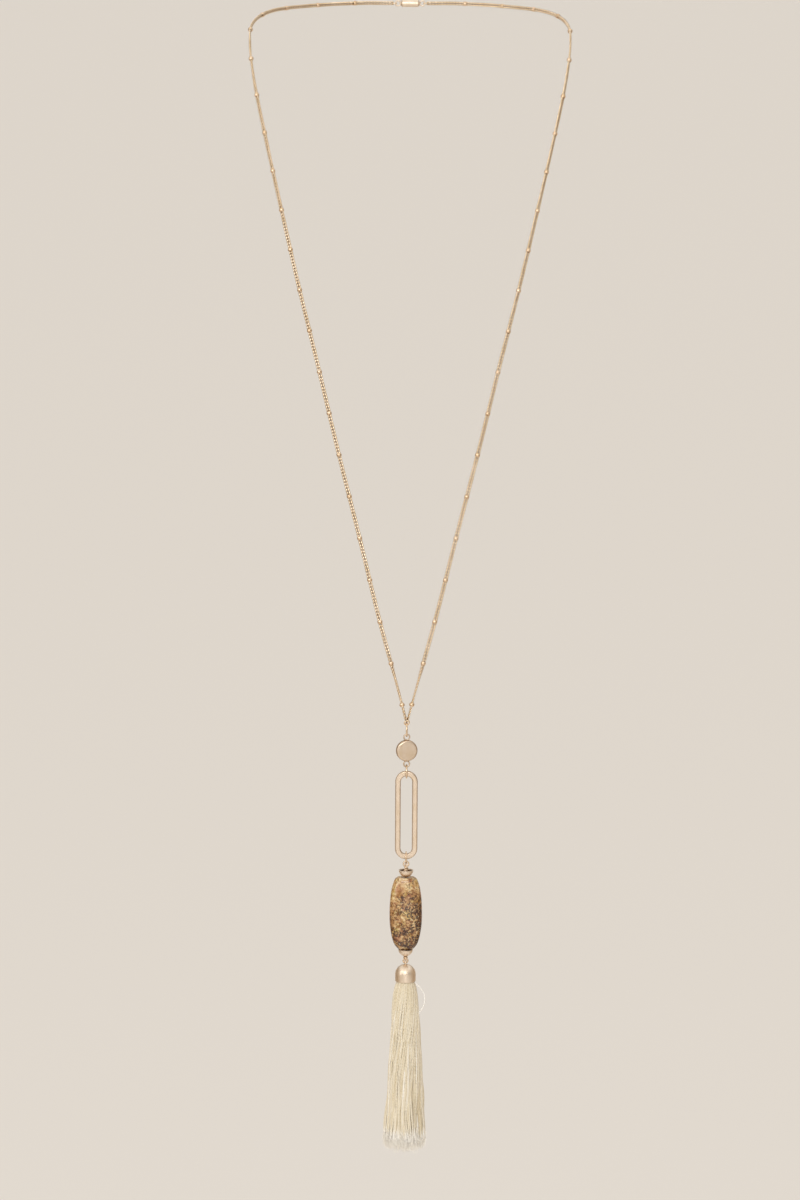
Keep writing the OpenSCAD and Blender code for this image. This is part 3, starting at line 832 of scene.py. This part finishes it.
def stone():
    """The bead's skin: up out of its bore over the top face, down its outside and back under it."""
    low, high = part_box("stone_bead")
    height = high.z - low.z
    form = spline([(t, share, 0) for t, share in STONE_FORM], STONE_FORM_STEPS)
    angles = np.arange(STONE_SEGMENTS) * tau / STONE_SEGMENTS
    circle = np.stack([np.cos(angles), np.sin(angles)], -1)
    squared = np.sign(circle) * np.abs(circle) ** (2 / STONE_SQUARE) * (high.x - low.x, high.y - low.y) / 2
    rows = [(share, form[0][1], high.z - depth) for share, depth in STONE_FACE]
    for t in np.linspace(0, 1, STONE_ROWS):
        worn = max(0, 1 - min(t, 1 - t) * height / WORN_EDGE) ** 2
        rows.append((1, np.interp(t, form[:, 0], form[:, 1]) * (1 - WORN_IN * worn),
                     high.z - height * t + WORN_DOWN * worn * (1 if t > 0.5 else -1)))
    rows += [(share, form[-1][1], low.z + depth) for share, depth in STONE_FACE[::-1]]
    rings = [np.column_stack([circle * BORE_R * (1 - out) + squared * width * out + (stem_x, stem_y),
                              np.full(len(circle), z)]) for out, width, z in rows]
    return np.vstack(rings), skin(len(rings), len(circle), closed=True), None


add_piece("jasper_bead", [stone()], speckled_jasper, "stone_drop", ["stone_bead"])


# -------- tassel

TASSEL_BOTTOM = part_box("tassel")[0].z
TASSEL_LEN = cap_rim - TASSEL_BOTTOM
# How far the threads reach up into the cap
INSIDE = 2.5 * MM
THREAD_STEPS = 26
# The seats each turn by the golden angle, in radians, so they fill a round head evenly. The first lock
# sits this many seats off the middle
LOCKS, FIRST_LOCK = 30, 0.7
GOLDEN_ANGLE = 2.39996
# The locks wind to the left at the front as they fall, each by its own amount, and have done so by
# this share of the length
LOCK_TURN, LOCK_TURN_SPREAD, THREAD_TURN_SPREAD = radians(-50), radians(8), radians(7)
WOUND_BY = 0.85
# How far the threads draw together into their locks, and how much the tassel opens below the cap
GATHER, GATHER_POWER, OPENING = 0.1, 0.8, 0.02
# Shares of the half width that the filling reaches out to, and that the outer threads start from
FILLING_REACH, OUTER_FROM = 0.9, 0.82
# Shares of RAGGED: one by chance, with the powers of that chance, and one by which the end is cut
# round, so the outer threads are the shortest
BY_CHANCE, CHANCE_POWERS = 0.45, (1.3, 2.2)
CUT_ROUND, ROUND_POWER = 0.6, 4
# A lock's sway aside and to the front: a long wave and a short one, each with its radians in the
# tassel's length. It grows by a power of the share of the length
LOCK_SWAY, SWAY_POWER = ((0.6 * MM, 5.2, 0.4 * MM, 14), (0.5 * MM, 4.6, 0.3 * MM, 12)), 1.2
# A thread's lead or lag in that sway, in radians, and its own wave, which is full from a third down
THREAD_LAG = 0.35
THREAD_SWAY, THREAD_WAVES, FULL_FROM = 0.4 * MM, (6, 15), 1 / 3


def spread(t):
    """Share of the tassel's spread at a share of its length."""
    return np.interp(t, *np.array(TASSEL_FORM).T)


def thread_lines():
    """Half width and line of each thread, the filling first.

    The threads gather in locks that sway together, slant, cross and part at the tips.
    """
    turn = np.arange(LOCKS) * GOLDEN_ANGLE
    lock_seat = np.sqrt((np.arange(LOCKS) + FIRST_LOCK) / LOCKS)[:, None] \
        * np.stack([np.cos(turn), np.sin(turn)], -1)
    lock_wave = rng.uniform(0, tau, (LOCKS, 4))
    lock_turn = rng.normal(LOCK_TURN, LOCK_TURN_SPREAD, LOCKS)
    lines = []
    for i in range(FILLINGS + THREADS):
        if i < FILLINGS:
            reach, half = FILLING_REACH * ((i + 0.5) / FILLINGS) ** 0.5, FILLING_D / 2
        else:
            reach, half = rng.uniform(OUTER_FROM ** 2, 1) ** 0.5, THREAD_D / 2
        angle = i * GOLDEN_ANGLE
        seat = np.array([cos(angle), sin(angle)]) * reach
        lock = np.argmin(np.linalg.norm(lock_seat - seat, axis=1))
        ragged = BY_CHANCE * rng.beta(*CHANCE_POWERS) + CUT_ROUND * reach ** ROUND_POWER
        length = TASSEL_LEN - RAGGED * ragged
        t = np.linspace(-INSIDE / length, 1, THREAD_STEPS)
        down = np.clip(t * length / TASSEL_LEN, 0, 1)
        gathered = seat + (lock_seat[lock] - seat) * (GATHER * down ** GATHER_POWER)[:, None]
        gathered *= (1 + OPENING * down)[:, None]
        bearing = (lock_turn[lock] + rng.normal(0, THREAD_TURN_SPREAD)) \
            * np.sin(np.minimum(1, down / WOUND_BY) * pi / 2)
        turned_seat = np.stack([
            gathered[:, 0] * np.cos(bearing) - gathered[:, 1] * np.sin(bearing),
            gathered[:, 0] * np.sin(bearing) + gathered[:, 1] * np.cos(bearing)], -1)
        room = np.array([HEAD_D, HEAD_D]) / 2 + spread(down)[:, None] \
            * (np.array([TASSEL_W, TASSEL_T]) - HEAD_D) / 2 - half
        phase = lock_wave[lock] + rng.normal(0, THREAD_LAG, 4)
        sway = (down ** SWAY_POWER)[:, None] * np.stack([
            long * np.sin(down * slow + phase[2 * way]) + short * np.sin(down * quick + phase[2 * way + 1])
            for way, (long, slow, short, quick) in enumerate(LOCK_SWAY)], -1)
        own = (np.minimum(1, down / FULL_FROM) * THREAD_SWAY)[:, None] * np.stack([
            np.sin(down * rng.uniform(*THREAD_WAVES) + rng.uniform(0, tau)) for _ in range(2)], -1)
        seats = turned_seat * room + sway + own + (stem_x, stem_y)
        lines.append((half, np.column_stack([seats, cap_rim - t * length])))
    return lines


# How much a thread swells as its twist loosens. At its end it is as thick as an outer thread
SWELL_AT, SWELL = (0, 0.88, 1), (1, 1.2)
# The stretch within which a thread's twist starts
TWIST_SHIFT = 2 * MM


def thread_part(line, radius):
    """One thread, its twist starting anywhere."""
    points, faces, lie = sweep(line, radius, THREAD_SIDES)
    lie[:, 2] += rng.uniform(0, TWIST_SHIFT)
    return points, faces, lie


lines = thread_lines()
thread_parts = []
for half, line in lines:
    swell = np.interp(np.linspace(0, 1, THREAD_STEPS), SWELL_AT, (*SWELL, THREAD_D / 2 / half))
    thread_parts.append(thread_part(line, swell * half))

# Tone of a thread, by chance, and what it gains down its length: painted shade makes it a little deeper
# under the cap, and painted light makes it paler at the tips
THREAD_TONE, THREAD_TONE_SPREAD = 0.5, 0.2
SHADE_AND_LIGHT_AT, PAINTED_SHADE_AND_LIGHT = (0, 0.05, 0.2, 0.86, 0.95), (-0.2, -0.2, 0, 0, 0.8)
thread_tones = []
for _, line in lines:
    t = np.repeat((cap_rim - line[:, 2]) / TASSEL_LEN, THREAD_SIDES)
    # Painted shade under the cap and painted light at the tips
    shade_and_light = np.interp(t, SHADE_AND_LIGHT_AT, PAINTED_SHADE_AND_LIGHT)
    thread_tones.append(np.clip(rng.normal(THREAD_TONE, THREAD_TONE_SPREAD) + shade_and_light, 0, 1))

# One thread has slipped at the rim and stands out in a loop on the right: millimetres from the
# middle of the rim
SLIPPED_LOOP = [
    (4.0, -1.0, 1.5), (4.4, -1.2, -0.8), (6.6, -1.3, -2.8), (8.3, -1.3, -5.5), (8.7, -1.4, -8.5),
    (7.9, -1.5, -11.8), (6.0, -1.6, -14.6), (5.2, -1.5, -19), (5.4, -1.4, -26),
]
SLIPPED_STEPS, SLIPPED_R = 5, THREAD_D * 0.45
slipped = spline([(stem_x + x * MM, stem_y + y * MM, cap_rim + z * MM) for x, y, z in SLIPPED_LOOP],
                 SLIPPED_STEPS)
thread_parts.append(thread_part(slipped, SLIPPED_R))
add_piece("tassel_threads", thread_parts, ivory_thread, "tassel_drop", ["tassel"],
          tones=[*thread_tones, 1.0])

FIBRE_STEPS, FIBRE_SIDES, FIBRE_THINS_TO = 5, 3, 0.4
# How far up its thread a fibre starts, its length, and how far it starts off its thread and bows
FIBRE_START, FIBRE_LENGTH = (1.0 * MM, 4.0 * MM), (2.5 * MM, 6.0 * MM)
FIBRE_OFF, FIBRE_BOW = 0.12 * MM, 0.5 * MM
# It fans out more to the sides than up or down, most of it near its end
FIBRE_FAN, FAN_BY_AXIS, FAN_POWER = 0.5 * MM, (1, 1, 0.25), 1.6
# How far it may hang below the tassel's solid
FIBRE_BELOW = 1.2 * MM
# Painted light: the fibres are paler than their threads, for light that passes through them
FIBRE_TONES = (0.9, 1.0)


def tip_fibres(line):
    """Fine fibres into which a thread's cut end frays."""
    fibres = []
    back = unit(line[-1] - line[-3])
    for _ in range(FIBRES_PER_THREAD):
        start = line[-1] - back * rng.uniform(*FIBRE_START) + rng.normal(0, FIBRE_OFF, 3)
        fan = rng.normal(0, FIBRE_FAN, 3) * FAN_BY_AXIS
        reach = rng.uniform(*FIBRE_LENGTH)
        s = np.linspace(0, 1, FIBRE_STEPS)[:, None]
        bow = rng.normal(0, FIBRE_BOW, 3)
        points = start + back * reach * s + fan * s ** FAN_POWER + bow * np.sin(s * pi)
        points[:, 2] = np.maximum(points[:, 2], TASSEL_BOTTOM - FIBRE_BELOW)
        fibres.append(points)
    return fibres


fibre_r = np.linspace(1, FIBRE_THINS_TO, FIBRE_STEPS) * FIBRE_D / 2
# A fibre has no twist of its own, so it goes in without its lie
fibre_parts = [(*sweep(points, fibre_r, FIBRE_SIDES)[:2], None)
               for _, line in lines for points in tip_fibres(line)]
add_piece("tassel_frayed_tips", fibre_parts, ivory_thread, "tassel_drop",
          tones=rng.uniform(*FIBRE_TONES, len(fibre_parts)), smooth=False)


# -------- solids that show as they are

for node, material in (("clasp", polished_plate), ("disc", brushed_plate), ("oval_link", brushed_plate)):
    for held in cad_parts[node].material_slots:
        held.material = material


# -------- floor, light and camera

PENDANT = Vector((0, -0.096, -0.36))
FLOOR_Z, FLOOR_REACH = -1.2, 60
# How far aside the cards stand, and their corners along Y and Z
CARD_X, CARD_CORNERS = 0.4, [(-0.24, -0.75), (0.5, -0.75), (0.5, -0.12), (-0.24, -0.12)]
# Brightness of the room by the height of the direction. The foot of the walls has the floor's own tone
ROOM_LIGHT = [
    (0.0, "#D0CBC6"), (0.05, "#CEC9C4"), (0.08, 0.5), (0.22, 0.28), (0.5, 0.6), (0.8, 0.95), (1.0, 1.0),
]
ROOM_COLOUR, ROOM_STRENGTH = "#FFFBF5", 1.15


def stage_sheet(name, corners, material):
    """One flat rectangle of the stage."""
    mesh = bpy.data.meshes.new(name)
    mesh.from_pydata(corners, [], [(0, 1, 2, 3)])
    mesh.materials.append(material)
    sheet = put_in_scene(name, mesh)
    return sheet


def floor_paint():
    """Pale warm floor paint, matt, with the fine tooth that a roller leaves, 3 mm across."""
    material, tree, place = start_material("matt_floor_paint")
    tooth = add_node(tree, "ShaderNodeTexNoise", {"Vector": place, "Scale": 1 / (3 * MM), "Detail": 2})
    relief = add_node(tree, "ShaderNodeBump", {"Height": tooth.outputs["Fac"], "Distance": 0.02 * MM})
    finish_material(tree, {"Base Color": linear("#EAE5DF"), "Roughness": 0.95,
                           "Specular IOR Level": 0.1, "Normal": relief.outputs["Normal"]})
    return material


def card_board():
    """Matt brown card, its colour mottled by fibres of about 2 mm."""
    material, tree, place = start_material("matt_brown_card")
    fibre = add_node(tree, "ShaderNodeTexNoise", {"Vector": place, "Scale": 1 / (2 * MM), "Detail": 2})
    tint = add_node(tree, "ShaderNodeValToRGB", {"Fac": fibre.outputs["Fac"]},
                    stops=[(0.3, "#C4B4A0"), (0.7, "#CDBDA9")])
    finish_material(tree, {"Base Color": tint.outputs["Color"], "Roughness": 0.95})
    return material


def softbox(name, azimuth, elevation, distance, width, height, radiance):
    """A rectangular soft light aimed at the pendant. Azimuth 0 is the front and 90 the right."""
    lamp = bpy.data.lights.new(name, "AREA")
    lamp.shape = "RECTANGLE"
    lamp.size, lamp.size_y = width, height
    lamp.energy = radiance * pi * width * height
    a, e = radians(azimuth), radians(elevation)
    back = Vector((sin(a) * cos(e), -cos(a) * cos(e), sin(e)))
    holder = put_in_scene(name, lamp)
    holder.location = PENDANT + back * distance
    holder.rotation_euler = back.to_track_quat("Z", "Y").to_euler()
    holder.visible_camera = False


def white_room():
    """Soft light from all round: a bright ceiling over dimmer walls that are pale at their foot."""
    room = bpy.data.worlds.new("white_room")
    room.use_nodes = True
    tree = room.node_tree
    tree.nodes.clear()
    direction = add_node(tree, "ShaderNodeTexCoord").outputs["Generated"]
    parts = add_node(tree, "ShaderNodeSeparateXYZ", {"Vector": direction})
    rise = add_node(tree, "ShaderNodeValToRGB", {"Fac": parts.outputs["Z"]}, stops=ROOM_LIGHT)
    tinted = add_node(tree, "ShaderNodeMix", {
        "Factor": 1, "A": rise.outputs["Color"], "B": linear(ROOM_COLOUR)},
        data_type="RGBA", blend_type="MULTIPLY")
    light = add_node(tree, "ShaderNodeBackground", {
        "Color": tinted.outputs["Result"], "Strength": ROOM_STRENGTH})
    add_node(tree, "ShaderNodeOutputWorld", {"Surface": light.outputs["Background"]})
    bpy.context.scene.world = room


# A wide floor, far enough below the tassel to take no hard shadow
stage_sheet("pale_floor", [(x * FLOOR_REACH, y * FLOOR_REACH, FLOOR_Z)
                           for x, y in ((-1, -1), (1, -1), (1, 1), (-1, 1))], floor_paint())
white_room()
# Cards beside the pendant, hidden from the camera, that draw the dark edges of metal and stone
brown_card = card_board()
for word, side in (("left", -1), ("right", 1)):
    card = stage_sheet(f"{word}_shade_card", [(side * CARD_X, y, z) for y, z in CARD_CORNERS], brown_card)
    card.visible_camera = False
softbox("key_softbox", azimuth=-6, elevation=28, distance=1.9, width=0.95, height=0.62, radiance=5.0)
softbox("left_softbox", azimuth=-58, elevation=20, distance=1.7, width=0.9, height=1.2, radiance=1.6)
softbox("low_front_fill", azimuth=4, elevation=-9, distance=2.3, width=1.1, height=0.5, radiance=1.0)

# The photograph's tones are the plain ones of a shop picture
bpy.context.scene.view_settings.view_transform = "Standard"

# The photograph's view: 9.5 degrees above the level, 1.8 m away, 0.44 mm to one of its 1200 pixel rows
VIEW_TARGET = Vector((-0.0033, -0.095, -0.2456))
VIEW_DISTANCE = 1.8
VIEW_ELEVATION = radians(9.5)
VIEW_ROLL = radians(0.3)
PHOTO_ROWS = 1200
ROW_SIZE = 0.44 * MM
SENSOR = 36

camera = bpy.data.cameras.new("camera")
camera.sensor_fit = "VERTICAL"
camera.sensor_height = SENSOR
camera.lens = SENSOR * VIEW_DISTANCE / (ROW_SIZE * PHOTO_ROWS)
camera.clip_start, camera.clip_end = 0.05, 500
camera_object = put_in_scene("camera", camera)
back = Vector((0, -cos(VIEW_ELEVATION), sin(VIEW_ELEVATION)))
camera_object.location = VIEW_TARGET + back * VIEW_DISTANCE
camera_object.rotation_euler = back.to_track_quat("Z", "Y").to_euler()
camera_object.rotation_euler.rotate_axis("Z", VIEW_ROLL)
bpy.context.scene.camera = camera_object


def plain(bounds):
    """Bounds as lists of numbers."""
    return [list(map(float, corner)) for corner in bounds]
